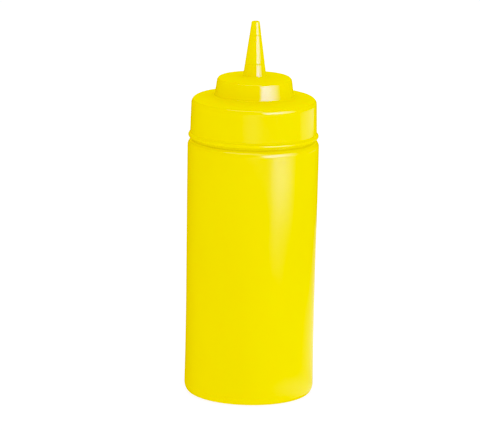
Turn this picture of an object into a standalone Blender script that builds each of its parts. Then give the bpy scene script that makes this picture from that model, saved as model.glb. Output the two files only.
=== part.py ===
"""Wide-mouth squeeze bottle: a blow-moulded bottle under a screw cap with a stepped turret and a cone nozzle.

Units are metres, +Z is up, and the origin is at the centre of the base, on the surface the bottle stands on.
Both pieces are turned shapes about the Z axis. The bottle is shut and opaque, so each piece is one solid.
"""
import math

import bmesh
import bpy
from mathutils import Matrix, Vector

MM = 0.001
TURN_STEPS = 64          # sides of every turned shape
FIT_GAP = 0.3            # clearance between the bottle's neck and the cap's socket

# Bottle, in millimetres
BODY_HEIGHT = 137.6      # base to the top of the shoulder
SHOULDER_RADIUS = 34.7   # the widest place, just under the shoulder
SHOULDER_ROUND = 4.2
WAIST_RADIUS = 34.1      # the narrowest place of the side wall
WAIST_HEIGHT = 36.0
WAIST_RISE = 98.0        # height over which the wall widens from the waist to the shoulder
FOOT_RADIUS = 34.3
FOOT_ROUND_OUT = 2.9     # the round edge of the base, across and up
FOOT_ROUND_UP = 4.6
STAND_WIDTH = 2.6        # flat ring that the bottle stands on
PUSH_UP = 1.2            # how far the middle of the base is raised
NECK_RISE = 3.0          # neck above the shoulder, inside the cap

# Cap, in millimetres
CAP_GAP = 0.8            # open groove between the shoulder and the cap
SKIRT_FOOT_RADIUS = 33.45
SKIRT_TOP_RADIUS = 33.0
SKIRT_HEIGHT = 20.8
SKIRT_ROUND = 3.4
BEAD_OUT = 0.95          # how far the bead stands out from the skirt
BEAD_ROUND = 1.2         # radius of the bead's crest
BEAD_MIDDLE = 0.75       # height of the crest above the cap's foot
BEAD_TOP = 2.22          # height at which the bead's upper flank leaves the skirt
BEAD_FOOT_OUT = 0.7      # how far the cap's foot stands out from the skirt
LIP_RADIUS = 32.9        # a lip inside the cap's foot reaches down to the shoulder
STEP_RISE = 0.95         # the disc round the turret slopes up by this much
TURRET_FOOT_RADIUS = 20.95
TURRET_TOP_RADIUS = 19.5
TURRET_HEIGHT = 10.1
TURRET_FOOT_ROUND = 1.3
TURRET_TOP_ROUND = 2.4
TURRET_TOP_RISE = 0.3    # the turret's top slopes up to the nozzle by this much
NOZZLE_HEIGHT = 29.3
NOZZLE_FOOT_RADIUS = 6.15
NOZZLE_TIP_RADIUS = 2.1
NOZZLE_FOOT_ROUND = 1.0
NOZZLE_TIP_ROUND = 0.8
ORIFICE_RADIUS = 1.1
ORIFICE_DEPTH = 6.0
CUT_MARK_HEIGHTS = (22.1, 6.9)   # cutting marks on the nozzle, above the turret's top
CUT_MARK_DEPTH = 0.22
CUT_MARK_WIDTH = 0.6


def fillet(before, corner, after, radius, steps):
    """Points of the arc that is tangent to both sides of a corner."""
    to_before = (before - corner).normalized()
    to_after = (after - corner).normalized()
    half_angle = to_before.angle(to_after) / 2
    centre = corner + (to_before + to_after).normalized() * (radius / math.sin(half_angle))
    start = corner + to_before * (radius / math.tan(half_angle)) - centre
    end = corner + to_after * (radius / math.tan(half_angle)) - centre
    sweep = start.angle_signed(end)
    return [centre + Matrix.Rotation(-sweep * i / steps, 2) @ start for i in range(steps + 1)]


def outline(corners):
    """Half outline from corners (radius, height) or (radius, height, round, steps), rounds filled in."""
    places = [Vector(corner[:2]) for corner in corners]
    points = []
    for i, corner in enumerate(corners):
        if len(corner) == 2:
            points.append(places[i])
        else:
            points += fillet(places[i - 1], places[i], places[i + 1], corner[2], corner[3])
    return points


def quarter_ellipse(centre, across, up, first, last, steps):
    """Points (radius, height) on an ellipse between two angles in degrees, as plain corners."""
    angles = [math.radians(first + (last - first) * i / steps) for i in range(steps + 1)]
    return [(centre[0] + across * math.cos(a), centre[1] + up * math.sin(a)) for a in angles]


def ease(share):
    """Smooth step from 0 to 1, level at both ends."""
    share = min(max(share, 0.0), 1.0)
    return share * share * (3 - 2 * share)


def wall_radius(height):
    """Radius of the bottle's side wall, which has a slight waist."""
    if height < WAIST_HEIGHT:
        return WAIST_RADIUS + (FOOT_RADIUS - WAIST_RADIUS) * ease(1 - height / WAIST_HEIGHT)
    return WAIST_RADIUS + (SHOULDER_RADIUS - WAIST_RADIUS) * ease((height - WAIST_HEIGHT) / WAIST_RISE)


def bottle_outline():
    """The bottle from the middle of its neck down the outside to the middle of its base."""
    neck_radius = SHOULDER_RADIUS - SHOULDER_ROUND - FIT_GAP
    neck_top = BODY_HEIGHT + NECK_RISE
    wall_foot = FOOT_ROUND_UP + 1.0
    wall_top = BODY_HEIGHT - SHOULDER_ROUND - 1.0
    wall_steps = 10
    wall_heights = [wall_top + (wall_foot - wall_top) * i / wall_steps for i in range(wall_steps + 1)]
    stand_outer = FOOT_RADIUS - FOOT_ROUND_OUT
    stand_inner = stand_outer - STAND_WIDTH
    corners = [
        (0, neck_top),
        (neck_radius, neck_top, 0.5, 2),
        (neck_radius, BODY_HEIGHT),
        (SHOULDER_RADIUS, BODY_HEIGHT, SHOULDER_ROUND, 8),
        *[(wall_radius(height), height) for height in wall_heights],
        *quarter_ellipse((stand_outer, FOOT_ROUND_UP), FOOT_ROUND_OUT, FOOT_ROUND_UP, 0, -90, 7),
        (stand_inner, 0),
        (stand_inner - 2 * PUSH_UP, PUSH_UP, 1.5, 2),
        (0, PUSH_UP),
    ]
    return outline(corners)


def cut_mark(height, foot, taper):
    """A shallow groove round the nozzle, as corners from its upper lip to its lower lip."""
    middle = NOZZLE_FOOT_RADIUS - taper * height
    lip_rise = CUT_MARK_WIDTH / 2
    return [
        (middle - taper * lip_rise, foot + height + lip_rise),
        (middle - CUT_MARK_DEPTH, foot + height),
        (middle + taper * lip_rise, foot + height - lip_rise),
    ]


def shoulder_height(radius):
    """Height of the bottle's round shoulder at a radius."""
    across = radius - (SHOULDER_RADIUS - SHOULDER_ROUND)
    return BODY_HEIGHT - SHOULDER_ROUND + math.sqrt(SHOULDER_ROUND ** 2 - across ** 2)


def cap_outline():
    """The cap from the bottom of its orifice, over the nozzle and down the outside, to its neck socket."""
    cap_foot = BODY_HEIGHT + CAP_GAP
    skirt_top = cap_foot + SKIRT_HEIGHT
    turret_foot = skirt_top + STEP_RISE
    turret_top = turret_foot + TURRET_HEIGHT
    nozzle_foot = turret_top + TURRET_TOP_RISE
    tip = nozzle_foot + NOZZLE_HEIGHT
    taper = (NOZZLE_FOOT_RADIUS - NOZZLE_TIP_RADIUS) / NOZZLE_HEIGHT
    bead_middle = (SKIRT_FOOT_RADIUS + BEAD_OUT - BEAD_ROUND, cap_foot + BEAD_MIDDLE)
    socket_radius = SHOULDER_RADIUS - SHOULDER_ROUND
    socket_top = BODY_HEIGHT + NECK_RISE + FIT_GAP
    corners = [
        (0, tip - ORIFICE_DEPTH),
        (ORIFICE_RADIUS, tip - ORIFICE_DEPTH),
        (ORIFICE_RADIUS, tip),
        (NOZZLE_TIP_RADIUS, tip, NOZZLE_TIP_ROUND, 4),
        *[corner for height in CUT_MARK_HEIGHTS for corner in cut_mark(height, nozzle_foot, taper)],
        (NOZZLE_FOOT_RADIUS, nozzle_foot, NOZZLE_FOOT_ROUND, 3),
        (TURRET_TOP_RADIUS, turret_top, TURRET_TOP_ROUND, 6),
        (TURRET_FOOT_RADIUS, turret_foot, TURRET_FOOT_ROUND, 4),
        (SKIRT_TOP_RADIUS, skirt_top, SKIRT_ROUND, 7),
        (SKIRT_FOOT_RADIUS, cap_foot + BEAD_TOP),
        *quarter_ellipse(bead_middle, BEAD_ROUND, BEAD_ROUND, 44, -30, 6),
        (SKIRT_FOOT_RADIUS + BEAD_FOOT_OUT, cap_foot),
        (LIP_RADIUS, cap_foot),
        (LIP_RADIUS, shoulder_height(LIP_RADIUS) + FIT_GAP),
        (socket_radius, cap_foot),
        (socket_radius, socket_top),
        (0, socket_top),
    ]
    return outline(corners)


def plastic(name, colour, roughness):
    """A plain coloured plastic."""
    material = bpy.data.materials.new(name)
    material.use_nodes = True
    shader = material.node_tree.nodes["Principled BSDF"]
    shader.inputs["Base Color"].default_value = (*colour, 1)
    shader.inputs["Metallic"].default_value = 0
    shader.inputs["Roughness"].default_value = roughness
    material.diffuse_color = (*colour, 1)
    return material


def turned(name, points, material, collection):
    """One closed solid: an outline in millimetres turned once about the Z axis."""
    drawing = bmesh.new()
    corners = [drawing.verts.new((radius * MM, 0, height * MM)) for radius, height in points]
    for upper, lower in zip(corners, corners[1:]):
        drawing.edges.new((upper, lower))
    mesh = bpy.data.meshes.new(name)
    drawing.to_mesh(mesh)
    drawing.free()
    piece = bpy.data.objects.new(name, mesh)
    collection.objects.link(piece)
    screw = piece.modifiers.new("Turn", "SCREW")
    screw.steps = TURN_STEPS
    screw.render_steps = TURN_STEPS
    screw.use_merge_vertices = True
    screw.merge_threshold = 0.00001
    turned_mesh = bpy.data.meshes.new_from_object(piece.evaluated_get(bpy.context.evaluated_depsgraph_get()))
    piece.modifiers.clear()
    piece.data = turned_mesh
    bpy.data.meshes.remove(mesh)
    turned_mesh.name = name
    turned_mesh.shade_smooth()
    turned_mesh.set_sharp_from_angle(angle=math.radians(35))
    turned_mesh.materials.append(material)
    return piece


def build():
    for item in list(bpy.data.objects):
        bpy.data.objects.remove(item, do_unlink=True)
    collection = bpy.data.collections.new("wide_mouth_squeeze_bottle")
    bpy.context.scene.collection.children.link(collection)
    yellow = (0.89, 0.77, 0.002)
    turned("bottle", bottle_outline(), plastic("bottle_plastic", yellow, 0.38), collection)
    turned("screw_cap", cap_outline(), plastic("cap_plastic", yellow, 0.25), collection)


build()
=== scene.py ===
"""Looks of the wide-mouth squeeze bottle: finely turned shells in moulded yellow plastic on a white floor.

Lengths here are in millimetres until they become mesh points, lights or cameras, which are in metres; +Z is
up and the base is at Z = 0.
"""
import math

import bmesh
import bpy
from mathutils import Matrix, Quaternion, Vector


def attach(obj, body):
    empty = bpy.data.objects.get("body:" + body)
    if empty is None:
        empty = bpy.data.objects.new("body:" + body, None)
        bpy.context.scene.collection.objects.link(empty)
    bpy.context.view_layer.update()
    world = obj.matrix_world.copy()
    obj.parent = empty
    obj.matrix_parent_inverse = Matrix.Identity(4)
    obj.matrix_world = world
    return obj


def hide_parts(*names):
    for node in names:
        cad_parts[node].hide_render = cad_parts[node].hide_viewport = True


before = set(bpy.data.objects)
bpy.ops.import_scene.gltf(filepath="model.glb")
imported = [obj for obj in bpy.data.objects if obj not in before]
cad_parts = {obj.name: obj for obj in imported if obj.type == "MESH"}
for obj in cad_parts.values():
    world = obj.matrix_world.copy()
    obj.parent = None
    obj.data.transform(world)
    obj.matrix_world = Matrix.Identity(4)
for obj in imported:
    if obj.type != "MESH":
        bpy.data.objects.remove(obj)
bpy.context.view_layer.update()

MM = 0.001
FIT_GAP = 0.3            # clearance between the bottle's neck and the cap's socket

# Bottle, in millimetres: the same driving dimensions as the CAD model
BODY_HEIGHT = 137.6
SHOULDER_RADIUS = 34.7
SHOULDER_ROUND = 4.2
WAIST_RADIUS = 34.1
WAIST_HEIGHT = 36.0
WAIST_RISE = 98.0
FOOT_RADIUS = 34.3
FOOT_ROUND_OUT = 2.9
FOOT_ROUND_UP = 4.6
STAND_WIDTH = 2.6
PUSH_UP = 1.2
PUSH_UP_ROUND = 1.5
NECK_RISE = 3.0
NECK_ROUND = 0.5
ROUND_MARGIN = 1.0       # length of wall left between its first or last ring and the round beside it

# Cap, in millimetres: the CAD model's, with a rounder outlet, a softer foot edge and a closer lip
CAP_GAP = 0.8
SKIRT_FOOT_RADIUS = 33.45
SKIRT_TOP_RADIUS = 33.0
SKIRT_HEIGHT = 20.8
SKIRT_ROUND = 3.4
BEAD_OUT = 0.95
BEAD_ROUND = 1.2
BEAD_MIDDLE = 0.75
BEAD_TOP = 2.22
BEAD_START, BEAD_END = 44, -30      # the crest's arc, in degrees above level
BEAD_FOOT_OUT = 0.7
BEAD_FOOT_ROUND = 0.1
LIP_RADIUS = 32.9
LIP_SLOPE = 0.1          # how far the lip leans in
LIP_GAP = 0.1            # open line between the shoulder and the cap's lip
STEP_RISE = 0.95
TURRET_FOOT_RADIUS = 20.95
TURRET_TOP_RADIUS = 19.5
TURRET_HEIGHT = 10.1
TURRET_FOOT_ROUND = 1.3
TURRET_TOP_ROUND = 2.4
TURRET_TOP_RISE = 0.3
NOZZLE_HEIGHT = 29.3
NOZZLE_FOOT_RADIUS = 6.15
NOZZLE_TIP_RADIUS = 2.1
NOZZLE_FOOT_ROUND = 1.0
NOZZLE_TIP_ROUND = 0.8
ORIFICE_RADIUS = 1.1
ORIFICE_DEPTH = 6.0
ORIFICE_LIP_ROUND = 0.25
CUT_MARK_HEIGHTS = (22.1, 6.9)
CUT_MARK_DEPTH = 0.22
CUT_MARK_WIDTH = 0.6
CUT_MARK_LIP_ROUND = 0.08
CUT_MARK_FLOOR_ROUND = 0.2

# What the moulding leaves on the bottle, in millimetres
SEAM_RISE = 0.063        # parting line of the two mould halves, at both ends of the X axis
SEAM_WIDTH = 0.7
SEAM_FADE = 3.0          # height over which it fades at the shoulder and at the foot
SEAM_OVERRUN = 0.3       # how far above the shoulder's top its fade ends
PINCH_DROP = 0.45        # weld line where the mould pinched the tube shut, across the base
PINCH_WIDTH = 1.1
PINCH_LENGTH = 40.0
PINCH_FADE = 2.0         # length over which it fades at both ends
WAVE_DEPTH = 0.05        # slight unevenness of the blown wall, as two slow waves
WAVE_MIX = 0.6           # strength of the second wave beside the first
FIRST_WAVE = (2, 0.6, 0.031)        # crests round the bottle, phase, and twist for each millimetre of height
SECOND_WAVE = (3, 2.1, -0.053)
WAVE_FADE_UP = 12.0      # height over which it grows above the foot's round
WAVE_FADE_DOWN = 8.0     # height over which it fades under the shoulder's round

# Fineness of the shells
TURN_STEPS = 240         # sides of the turned shells
WALL_STEPS = 60          # rings of the bottle's side wall
BASE_STEPS = 16          # rings of the base's raised middle
SUPPORT_GAP = 0.12       # distance of a supporting ring from the end of a straight run
RING_SPACING = 4.0       # rough distance between two rings of a long straight run
SEAM_OFFSETS = (-1.0, -0.65, -0.3, 0.3, 0.65, 1.0)   # extra sides next to each seam, in seam widths
SHARP_EDGE = math.radians(40)


def fillet(before, corner, after, radius, steps):
    """Points of the arc that is tangent to both sides of a corner."""
    to_before = (before - corner).normalized()
    to_after = (after - corner).normalized()
    half_angle = to_before.angle(to_after) / 2
    centre = corner + (to_before + to_after).normalized() * (radius / math.sin(half_angle))
    start = corner + to_before * (radius / math.tan(half_angle)) - centre
    end = corner + to_after * (radius / math.tan(half_angle)) - centre
    sweep = start.angle_signed(end)
    return [centre + Matrix.Rotation(-sweep * i / steps, 2) @ start for i in range(steps + 1)]


def outline(corners):
    """Half outline from corners (radius, height) or (radius, height, round, steps), rounds filled in."""
    places = [Vector(corner[:2]) for corner in corners]
    points = []
    for i, corner in enumerate(corners):
        if len(corner) == 2:
            points.append(places[i])
        else:
            points += fillet(places[i - 1], places[i], places[i + 1], corner[2], corner[3])
    return points


def supported(points):
    """Adds points on long straight runs, at both ends and evenly between, to keep smooth shading true."""
    result = [points[0]]
    for before, after in zip(points, points[1:]):
        length = (after - before).length
        if length > 4 * SUPPORT_GAP:
            parts = max(1, round(length / RING_SPACING))
            inner = [i / parts for i in range(1, parts)]
            shares = [SUPPORT_GAP / length, *inner, 1 - SUPPORT_GAP / length]
            result += [before.lerp(after, share) for share in shares]
        result.append(after)
    return result


def quarter_ellipse(centre, across, up, first, last, steps):
    """Points (radius, height) on an ellipse between two angles in degrees, as plain corners."""
    angles = [math.radians(first + (last - first) * i / steps) for i in range(steps + 1)]
    return [(centre[0] + across * math.cos(a), centre[1] + up * math.sin(a)) for a in angles]


def ease(share):
    """Smooth step from 0 to 1, level at both ends."""
    share = min(max(share, 0.0), 1.0)
    return share * share * (3 - 2 * share)


def wall_radius(height):
    """Radius of the bottle's side wall, which has a slight waist."""
    if height < WAIST_HEIGHT:
        return WAIST_RADIUS + (FOOT_RADIUS - WAIST_RADIUS) * ease(1 - height / WAIST_HEIGHT)
    return WAIST_RADIUS + (SHOULDER_RADIUS - WAIST_RADIUS) * ease((height - WAIST_HEIGHT) / WAIST_RISE)


def bottle_outline():
    """The bottle from the middle of its neck down the outside to the middle of its base."""
    neck_radius = SHOULDER_RADIUS - SHOULDER_ROUND - FIT_GAP
    neck_top = BODY_HEIGHT + NECK_RISE
    wall_foot = FOOT_ROUND_UP + ROUND_MARGIN
    wall_top = BODY_HEIGHT - SHOULDER_ROUND - ROUND_MARGIN
    wall_heights = [wall_top + (wall_foot - wall_top) * i / WALL_STEPS for i in range(WALL_STEPS + 1)]
    stand_outer = FOOT_RADIUS - FOOT_ROUND_OUT
    stand_inner = stand_outer - STAND_WIDTH
    push_up_edge = stand_inner - 2 * PUSH_UP
    corners = [
        (0, neck_top),
        (neck_radius, neck_top, NECK_ROUND, 4),
        (neck_radius, BODY_HEIGHT),
        (SHOULDER_RADIUS, BODY_HEIGHT, SHOULDER_ROUND, 18),
        *[(wall_radius(height), height) for height in wall_heights],
        *quarter_ellipse((stand_outer, FOOT_ROUND_UP), FOOT_ROUND_OUT, FOOT_ROUND_UP, 0, -90, 16),
        (stand_inner, 0),
        (push_up_edge, PUSH_UP, PUSH_UP_ROUND, 6),
        *[(push_up_edge * (1 - i / BASE_STEPS), PUSH_UP) for i in range(1, BASE_STEPS + 1)],
    ]
    return outline(corners)


def cut_mark(height, foot, taper):
    """A shallow groove round the nozzle, as corners from its upper lip to its lower lip."""
    middle = NOZZLE_FOOT_RADIUS - taper * height
    lip_rise = CUT_MARK_WIDTH / 2
    return [
        (middle - taper * lip_rise, foot + height + lip_rise, CUT_MARK_LIP_ROUND, 2),
        (middle - CUT_MARK_DEPTH, foot + height, CUT_MARK_FLOOR_ROUND, 3),
        (middle + taper * lip_rise, foot + height - lip_rise, CUT_MARK_LIP_ROUND, 2),
    ]


def shoulder_height(radius):
    """Height of the bottle's round shoulder at a radius."""
    across = radius - (SHOULDER_RADIUS - SHOULDER_ROUND)
    return BODY_HEIGHT - SHOULDER_ROUND + math.sqrt(SHOULDER_ROUND ** 2 - across ** 2)


def cap_outline():
    """The cap from the bottom of its orifice, over the nozzle and down the outside, to its neck socket."""
    cap_foot = BODY_HEIGHT + CAP_GAP
    skirt_top = cap_foot + SKIRT_HEIGHT
    turret_foot = skirt_top + STEP_RISE
    turret_top = turret_foot + TURRET_HEIGHT
    nozzle_foot = turret_top + TURRET_TOP_RISE
    tip = nozzle_foot + NOZZLE_HEIGHT
    taper = (NOZZLE_FOOT_RADIUS - NOZZLE_TIP_RADIUS) / NOZZLE_HEIGHT
    bead_middle = (SKIRT_FOOT_RADIUS + BEAD_OUT - BEAD_ROUND, cap_foot + BEAD_MIDDLE)
    lip_top = LIP_RADIUS - LIP_SLOPE
    socket_radius = SHOULDER_RADIUS - SHOULDER_ROUND
    socket_top = BODY_HEIGHT + NECK_RISE + FIT_GAP
    corners = [
        (0, tip - ORIFICE_DEPTH),
        (ORIFICE_RADIUS, tip - ORIFICE_DEPTH),
        (ORIFICE_RADIUS, tip, ORIFICE_LIP_ROUND, 3),
        (NOZZLE_TIP_RADIUS, tip, NOZZLE_TIP_ROUND - ORIFICE_LIP_ROUND, 6),
        *[corner for height in CUT_MARK_HEIGHTS for corner in cut_mark(height, nozzle_foot, taper)],
        (NOZZLE_FOOT_RADIUS, nozzle_foot, NOZZLE_FOOT_ROUND, 6),
        (TURRET_TOP_RADIUS, turret_top, TURRET_TOP_ROUND, 12),
        (TURRET_FOOT_RADIUS, turret_foot, TURRET_FOOT_ROUND, 8),
        (SKIRT_TOP_RADIUS, skirt_top, SKIRT_ROUND, 14),
        (SKIRT_FOOT_RADIUS, cap_foot + BEAD_TOP),
        *quarter_ellipse(bead_middle, BEAD_ROUND, BEAD_ROUND, BEAD_START, BEAD_END, 14),
        (SKIRT_FOOT_RADIUS + BEAD_FOOT_OUT, cap_foot, BEAD_FOOT_ROUND, 3),
        (LIP_RADIUS, cap_foot),
        (lip_top, shoulder_height(lip_top) + LIP_GAP),
        (socket_radius, cap_foot),
        (socket_radius, socket_top),
        (0, socket_top),
    ]
    return outline(corners)


def turned_piece(name, points, angles, shift=None):
    """A closed shell: an outline turned about the Z axis at the given angles, each point moved by shift."""
    mesh = bmesh.new()
    rings = []
    for radius, height in points:
        if radius < 1e-6:
            rings.append([mesh.verts.new((0, 0, height * MM))])
            continue
        ring = []
        for angle in angles:
            place = Vector((radius * math.cos(angle), radius * math.sin(angle), height))
            ring.append(mesh.verts.new((shift(place) if shift else place) * MM))
        rings.append(ring)
    count = len(angles)
    for upper, lower in zip(rings, rings[1:]):
        for i in range(count):
            j = (i + 1) % count
            left = [upper[i % len(upper)], lower[i % len(lower)]]
            right = [lower[j % len(lower)], upper[j % len(upper)]]
            mesh.faces.new(list(dict.fromkeys(left + right)))
    data = bpy.data.meshes.new(name)
    mesh.to_mesh(data)
    mesh.free()
    data.shade_smooth()
    data.set_sharp_from_angle(angle=SHARP_EDGE)
    piece = bpy.data.objects.new(name, data)
    bpy.context.scene.collection.objects.link(piece)
    return piece


def even_angles(steps):
    """Angles in radians, evenly round one turn."""
    return [2 * math.pi * i / steps for i in range(steps)]


def seam_angles():
    """Even angles, with extra ones beside the seams at both ends of the X axis."""
    angles = set(even_angles(TURN_STEPS))
    for seam in (0.0, math.pi):
        for offset in SEAM_OFFSETS:
            angles.add((seam + offset * SEAM_WIDTH / SHOULDER_RADIUS) % (2 * math.pi))
    return sorted(angles)


def wave(angle, height):
    """Two slow waves round the blown wall, from 0 at the outline to -1 - WAVE_MIX at the deepest."""
    waves = (FIRST_WAVE, SECOND_WAVE)
    first, second = (math.sin(crests * angle + phase + twist * height) for crests, phase, twist in waves)
    return (first + WAVE_MIX * second - (1 + WAVE_MIX)) / 2


def moulded(place):
    """Moves a point of the turned bottle by its moulding's marks: waves, parting line and pinched weld."""
    angle = math.atan2(place.y, place.x)
    radius = math.hypot(place.x, place.y)
    above_foot = ease((place.z - FOOT_ROUND_UP) / WAVE_FADE_UP)
    under_shoulder = ease((BODY_HEIGHT - SHOULDER_ROUND - place.z) / WAVE_FADE_DOWN)
    outward = WAVE_DEPTH * wave(angle, place.z) * above_foot * under_shoulder
    if radius > FOOT_RADIUS / 2:
        seam_reach = ease((BODY_HEIGHT + SEAM_OVERRUN - place.z) / SEAM_FADE) * ease(place.z / SEAM_FADE)
        outward += SEAM_RISE * math.exp(-(place.y / (SEAM_WIDTH / 2)) ** 2) * seam_reach
    scale = min(radius + outward, SHOULDER_RADIUS) / radius
    drop = 0.0
    stand_inner = FOOT_RADIUS - FOOT_ROUND_OUT - STAND_WIDTH
    if place.z < PUSH_UP + 0.01 and radius < stand_inner:
        pinch_reach = ease((PINCH_LENGTH / 2 - abs(place.x)) / PINCH_FADE)
        drop = PINCH_DROP * math.exp(-(place.y / (PINCH_WIDTH / 2)) ** 2) * pinch_reach
    return Vector((place.x * scale, place.y * scale, place.z - drop))


def node_material(name):
    """A material with a plain shader and an output; returns it with its nodes, its links and the shader."""
    material = bpy.data.materials.new(name)
    material.use_nodes = True
    nodes = material.node_tree.nodes
    links = material.node_tree.links
    nodes.clear()
    shader = nodes.new("ShaderNodeBsdfPrincipled")
    output = nodes.new("ShaderNodeOutputMaterial")
    links.new(shader.outputs["BSDF"], output.inputs["Surface"])
    return material, nodes, links, shader


def noise(nodes, links, coordinates, scale, detail, stretch=(1, 1, 1)):
    """A noise texture in object space, stretched along the axes."""
    mapping = nodes.new("ShaderNodeMapping")
    mapping.inputs["Scale"].default_value = stretch
    links.new(coordinates, mapping.inputs["Vector"])
    texture = nodes.new("ShaderNodeTexNoise")
    texture.inputs["Scale"].default_value = scale
    texture.inputs["Detail"].default_value = detail
    links.new(mapping.outputs["Vector"], texture.inputs["Vector"])
    return texture.outputs["Fac"]


def span(nodes, links, value, low, high, start=0.0, end=1.0, smooth=True):
    """A step from start, where value is low or less, to end, where it is high or more."""
    node = nodes.new("ShaderNodeMapRange")
    node.interpolation_type = "SMOOTHSTEP" if smooth else "LINEAR"
    node.inputs["From Min"].default_value = low
    node.inputs["From Max"].default_value = high
    node.inputs["To Min"].default_value = start
    node.inputs["To Max"].default_value = end
    links.new(value, node.inputs["Value"])
    return node.outputs["Result"]


# Plastic
NOISE_LOW, NOISE_HIGH = 0.3, 0.7        # the range that a noise mostly stays in
CLOUD_SCALE = 38.0                      # noise cells for each metre
CLOUD_STRETCH = (1, 1, 0.45)
SMEAR_SCALE = 150.0
SMEAR_STRETCH = (1, 1, 0.3)
GLOSS_LEVEL = 0.5
SIDE_FACING, TOP_FACING = 0.6, 0.7      # upward part of the normal where the gloss starts and ends fading
PLASTIC_IOR = 1.5
SCATTER_WEIGHT = 0.15
SCATTER_RADIUS = (1.0, 0.55, 0.08)
SCATTER_DEPTH = 2.0 * MM


def yellow_plastic(name, colours, roughness, grain, grain_height):
    """Pigmented polyethylene: clouded colour, uneven gloss that fades on what faces up, and a fine grain."""
    material, nodes, links, shader = node_material(name)
    texture_space = nodes.new("ShaderNodeTexCoord")
    coordinates = texture_space.outputs["Object"]
    cloud = noise(nodes, links, coordinates, CLOUD_SCALE, 3.0, CLOUD_STRETCH)
    ramp = nodes.new("ShaderNodeValToRGB")
    for stop, position, colour in zip(ramp.color_ramp.elements, (NOISE_LOW, NOISE_HIGH), colours):
        stop.position = position
        stop.color = (*colour, 1)
    links.new(cloud, ramp.inputs["Fac"])
    links.new(ramp.outputs["Color"], shader.inputs["Base Color"])
    smear = noise(nodes, links, coordinates, SMEAR_SCALE, 4.0, SMEAR_STRETCH)
    uneven = span(nodes, links, smear, NOISE_LOW, NOISE_HIGH, *roughness, smooth=False)
    links.new(uneven, shader.inputs["Roughness"])
    facing = nodes.new("ShaderNodeSeparateXYZ")
    links.new(texture_space.outputs["Normal"], facing.inputs["Vector"])
    gloss = span(nodes, links, facing.outputs["Z"], SIDE_FACING, TOP_FACING, GLOSS_LEVEL, 0.0)
    links.new(gloss, shader.inputs["Specular IOR Level"])
    bump = nodes.new("ShaderNodeBump")
    bump.inputs["Strength"].default_value = 1.0
    bump.inputs["Distance"].default_value = grain_height * MM
    links.new(noise(nodes, links, coordinates, grain, 2.0), bump.inputs["Height"])
    links.new(bump.outputs["Normal"], shader.inputs["Normal"])
    shader.inputs["IOR"].default_value = PLASTIC_IOR
    shader.inputs["Subsurface Weight"].default_value = SCATTER_WEIGHT
    shader.inputs["Subsurface Radius"].default_value = SCATTER_RADIUS
    shader.inputs["Subsurface Scale"].default_value = SCATTER_DEPTH
    return material


def show(piece, node, material):
    """Puts a fine shell in the place of its CAD solid."""
    piece.data.materials.append(material)
    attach(piece, "root")
    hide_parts(node)


LIGHT_YELLOW = (0.924, 0.794, 0.0008)
DEEP_YELLOW = (0.909, 0.774, 0.0004)
CAP_LIGHT_YELLOW = (0.932, 0.806, 0.0008)
CAP_DEEP_YELLOW = (0.917, 0.786, 0.0004)

blown_yellow = yellow_plastic("blown_yellow", colours=(DEEP_YELLOW, LIGHT_YELLOW),
                              roughness=(0.19, 0.23), grain=900.0, grain_height=0.005)
bottle = turned_piece("bottle_shell", supported(bottle_outline()), seam_angles(), moulded)
show(bottle, "bottle", blown_yellow)

moulded_yellow = yellow_plastic("moulded_yellow", colours=(CAP_DEEP_YELLOW, CAP_LIGHT_YELLOW),
                                roughness=(0.13, 0.17), grain=500.0, grain_height=0.0015)
cap = turned_piece("cap_shell", supported(cap_outline()), even_angles(TURN_STEPS))
show(cap, "screw_cap", moulded_yellow)


# Studio: floor, light tent, lights and camera, in metres and degrees
FLOOR_SIDE = 12.0
FLOOR_DROP = 0.0003             # the floor lies this far under the base
TENT_RADIUS = 6.0
OVERHEAD_START = 0.2            # height on the tent, as a share of its radius, where its top tone starts
LOOK_AT = Vector((0, 0, 0.1))   # middle of the bottle
BIG_DISTANCE = 1.2              # from LOOK_AT to a big softbox
CARD_DISTANCE = 0.4             # from the bottle's axis to a card
FLOOR_PATCH_HEIGHT = 0.002


def around(azimuth, elevation, distance, centre=LOOK_AT):
    """A place seen from centre: azimuth 0 is the camera's side, -Y, and 90 is +X."""
    a, e = math.radians(azimuth), math.radians(elevation)
    return centre + distance * Vector((math.sin(a) * math.cos(e), -math.cos(a) * math.cos(e), math.sin(e)))


def floor(albedo, glow):
    """A plain white floor under the bottle, lit from below as well."""
    mesh = bmesh.new()
    bmesh.ops.create_grid(mesh, x_segments=4, y_segments=4, size=FLOOR_SIDE / 2)
    data = bpy.data.meshes.new("floor")
    mesh.to_mesh(data)
    mesh.free()
    plane = bpy.data.objects.new("floor", data)
    plane.location = (0, 0, -FLOOR_DROP)
    bpy.context.scene.collection.objects.link(plane)
    material, nodes, links, shader = node_material("pale_floor")
    shader.inputs["Base Color"].default_value = (albedo, albedo, albedo, 1)
    shader.inputs["Roughness"].default_value = 1.0
    shader.inputs["Specular IOR Level"].default_value = 0.0
    shader.inputs["Emission Color"].default_value = (*glow, 1)
    shader.inputs["Emission Strength"].default_value = 1.0
    material.cycles.emission_sampling = "NONE"
    data.materials.append(material)
    plane.visible_glossy = False


def mix_colours(nodes, links, factor, first, second):
    """A colour between first and second, each a colour or a socket, by a factor socket."""
    node = nodes.new("ShaderNodeMix")
    node.data_type = "RGBA"
    sockets = {socket.identifier: socket for socket in node.inputs}
    links.new(factor, sockets["Factor_Float"])
    for key, colour in (("A_Color", first), ("B_Color", second)):
        if isinstance(colour, bpy.types.NodeSocket):
            links.new(colour, sockets[key])
        else:
            sockets[key].default_value = (*colour, 1)
    return {socket.identifier: socket for socket in node.outputs}["Result_Color"]


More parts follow.
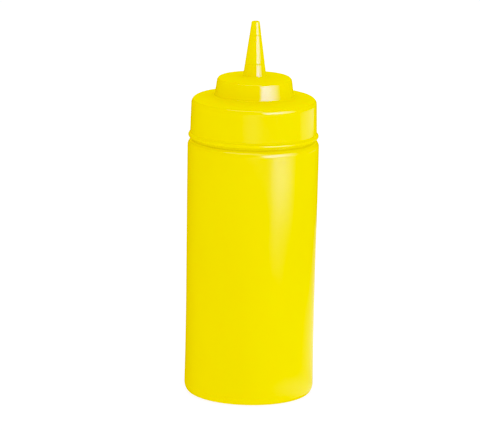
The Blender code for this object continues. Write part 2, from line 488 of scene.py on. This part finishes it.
def tent(azimuth, dark, light, top, dark_warm, light_warm):
    """A light tent round the scene, lightest at one azimuth, which the plastic mirrors in a warm tone."""
    mesh = bmesh.new()
    bmesh.ops.create_icosphere(mesh, subdivisions=4, radius=TENT_RADIUS)
    bmesh.ops.reverse_faces(mesh, faces=mesh.faces)
    data = bpy.data.meshes.new("light_tent")
    mesh.to_mesh(data)
    mesh.free()
    data.shade_smooth()
    sphere = bpy.data.objects.new("light_tent", data)
    bpy.context.scene.collection.objects.link(sphere)
    material = bpy.data.materials.new("tent_light")
    material.use_nodes = True
    material.cycles.emission_sampling = "NONE"
    nodes, links = material.node_tree.nodes, material.node_tree.links
    nodes.clear()
    output = nodes.new("ShaderNodeOutputMaterial")
    glow = nodes.new("ShaderNodeEmission")
    links.new(glow.outputs["Emission"], output.inputs["Surface"])
    place = nodes.new("ShaderNodeTexCoord").outputs["Object"]
    height = nodes.new("ShaderNodeSeparateXYZ")
    links.new(place, height.inputs["Vector"])
    towards = nodes.new("ShaderNodeVectorMath")
    towards.operation = "DOT_PRODUCT"
    links.new(place, towards.inputs[0])
    towards.inputs[1].default_value = around(azimuth, 0, 1, Vector())
    across = span(nodes, links, towards.outputs["Value"], -TENT_RADIUS, TENT_RADIUS, smooth=False)
    white = mix_colours(nodes, links, across, dark, light)
    start = OVERHEAD_START * TENT_RADIUS
    overhead = span(nodes, links, height.outputs["Z"], start, TENT_RADIUS, smooth=False)
    white = mix_colours(nodes, links, overhead, white, top)
    warm = mix_colours(nodes, links, across, dark_warm, light_warm)
    mirrored = nodes.new("ShaderNodeLightPath").outputs["Is Glossy Ray"]
    links.new(mix_colours(nodes, links, mirrored, white, warm), glow.inputs["Color"])
    data.materials.append(material)


def softbox(name, place, target, size, radiance, colour, fades):
    """An area light facing target that only the gloss sees.

    Each fade is an axis and the two shares of the light's side where it is dark and where it is fully bright.
    """
    light = bpy.data.lights.new(name, "AREA")
    light.shape = "RECTANGLE"
    light.size, light.size_y = size
    light.energy = radiance * size[0] * size[1] * math.pi
    light.color = colour
    light.use_nodes = True
    nodes, links = light.node_tree.nodes, light.node_tree.links
    across = nodes.new("ShaderNodeSeparateXYZ")
    links.new(nodes.new("ShaderNodeNewGeometry").outputs["Parametric"], across.inputs["Vector"])
    strength = nodes["Emission"].inputs["Strength"]
    for axis, dark, bright in fades:
        product = nodes.new("ShaderNodeMath")
        product.operation = "MULTIPLY"
        product.inputs[0].default_value = 1.0
        links.new(span(nodes, links, across.outputs[axis], dark, bright), product.inputs[1])
        links.new(product.outputs["Value"], strength)
        strength = product.inputs[0]
    lamp = bpy.data.objects.new(name, light)
    lamp.location = place
    lamp.rotation_mode = "QUATERNION"
    lamp.rotation_quaternion = (target - place).to_track_quat("-Z", "Y")
    lamp.visible_camera = False
    lamp.visible_diffuse = False
    bpy.context.scene.collection.objects.link(lamp)


def big_softbox(name, azimuth, elevation, **light):
    """A softbox far from the bottle, at an azimuth and an elevation."""
    softbox(name, around(azimuth, elevation, BIG_DISTANCE), LOOK_AT, **light)


def card(name, azimuth, low, high, width, **light):
    """An upright softbox close to the bottle, between two heights."""
    middle = Vector((0, 0, (low + high) / 2))
    softbox(name, around(azimuth, 0, CARD_DISTANCE, middle), middle, size=(width, high - low), **light)


def floor_patch(name, x, y, **light):
    """A softbox that lies on the floor and faces up."""
    place = Vector((x, y, FLOOR_PATCH_HEIGHT))
    softbox(name, place, place + Vector((0, 0, 1)), **light)


CAMERA_ELEVATION = 12.24
CAMERA_DISTANCE = 1.9086
CAMERA_ROLL = 1.108
CAMERA_LENS = 270.0
SENSOR_WIDTH = 36.0
FRAME_WIDTH = 480               # pixels across the picture
CENTRE_OFFSET = (12.0, 8.3)     # pixels that LOOK_AT lies right of and above the picture's middle


def camera():
    """The photograph's view: a little from above, slightly rolled, with the bottle off the middle."""
    data = bpy.data.cameras.new("camera")
    data.sensor_width = SENSOR_WIDTH
    data.lens = CAMERA_LENS
    data.clip_start, data.clip_end = 0.05, 50
    eye = bpy.data.objects.new("camera", data)
    eye.location = around(0, CAMERA_ELEVATION, CAMERA_DISTANCE)
    eye.rotation_mode = "QUATERNION"
    roll = Quaternion((0, 0, 1), math.radians(CAMERA_ROLL))
    turn = (LOOK_AT - eye.location).to_track_quat("-Z", "Y") @ roll
    metres_per_pixel = CAMERA_DISTANCE * SENSOR_WIDTH / CAMERA_LENS / FRAME_WIDTH
    right = turn @ Vector((1, 0, 0))
    up = turn @ Vector((0, 1, 0))
    aim = LOOK_AT - metres_per_pixel * (CENTRE_OFFSET[0] * right + CENTRE_OFFSET[1] * up)
    eye.rotation_quaternion = (aim - eye.location).to_track_quat("-Z", "Y") @ roll
    bpy.context.scene.collection.objects.link(eye)
    bpy.context.scene.camera = eye


def black_point(blue):
    """Keeps the saturated yellow clean: faint blue in the plastic's shading counts as none."""
    settings = bpy.context.scene.view_settings
    settings.view_transform = "Standard"
    settings.use_curve_mapping = True
    mapping = settings.curve_mapping
    curve = mapping.curves[2]
    curve.points[0].location = (blue, 0)
    curve.points[1].location = (1, 1)
    for point in curve.points:
        point.handle_type = "VECTOR"
    mapping.update()


# Yellow returns nearly all red and green, so what a highlight can still add, and what whitens it, is blue
SOFT_BLUE = (0.5, 0.6, 1.0)
DEEP_BLUE = (0.3, 0.4, 1.0)

floor(albedo=0.3, glow=(0.755, 0.755, 0.85))
tent(azimuth=88, dark=(0.925, 0.845, 0.845), light=(1.03, 1.125, 1.125), top=(0.98, 0.94, 0.94),
     dark_warm=(0.42, 0.15, 0.0), light_warm=(0.85, 0.72, 0.0))
big_softbox("key", azimuth=56, elevation=15.5, size=(1.74, 0.66), radiance=13.0,
            colour=(0.18, 0.25, 1.0), fades=[("X", 0.92, 0.25)])
big_softbox("front", azimuth=-20, elevation=50, size=(1.4, 0.45), radiance=2.0,
            colour=SOFT_BLUE, fades=[])
card("stripe", azimuth=58, low=0.014, high=0.058, width=0.36, radiance=10.9,
     colour=(0.18, 0.3, 1.0), fades=[("X", 1.0, 0.28), ("Y", 0.0, 1.0)])
card("low_right", azimuth=110, low=0.07, high=0.1, width=0.45, radiance=1.1,
     colour=DEEP_BLUE, fades=[("X", 0.0, 0.35)])
card("low_front", azimuth=-2, low=0.06, high=0.135, width=0.56, radiance=1.1,
     colour=DEEP_BLUE, fades=[("X", 0.0, 0.5), ("X", 1.0, 0.5)])
floor_patch("floor_right", x=0.14, y=0.16, size=(0.3, 0.46), radiance=0.92,
            colour=SOFT_BLUE, fades=[("X", 0.0, 1.0), ("Y", 0.0, 0.38)])
floor_patch("floor_foot", x=0.048, y=-0.03, size=(0.075, 0.09), radiance=1.0,
            colour=DEEP_BLUE, fades=[("X", 0.0, 0.5), ("X", 1.0, 0.5), ("Y", 0.0, 0.5), ("Y", 1.0, 0.5)])
camera()
black_point(blue=0.03)
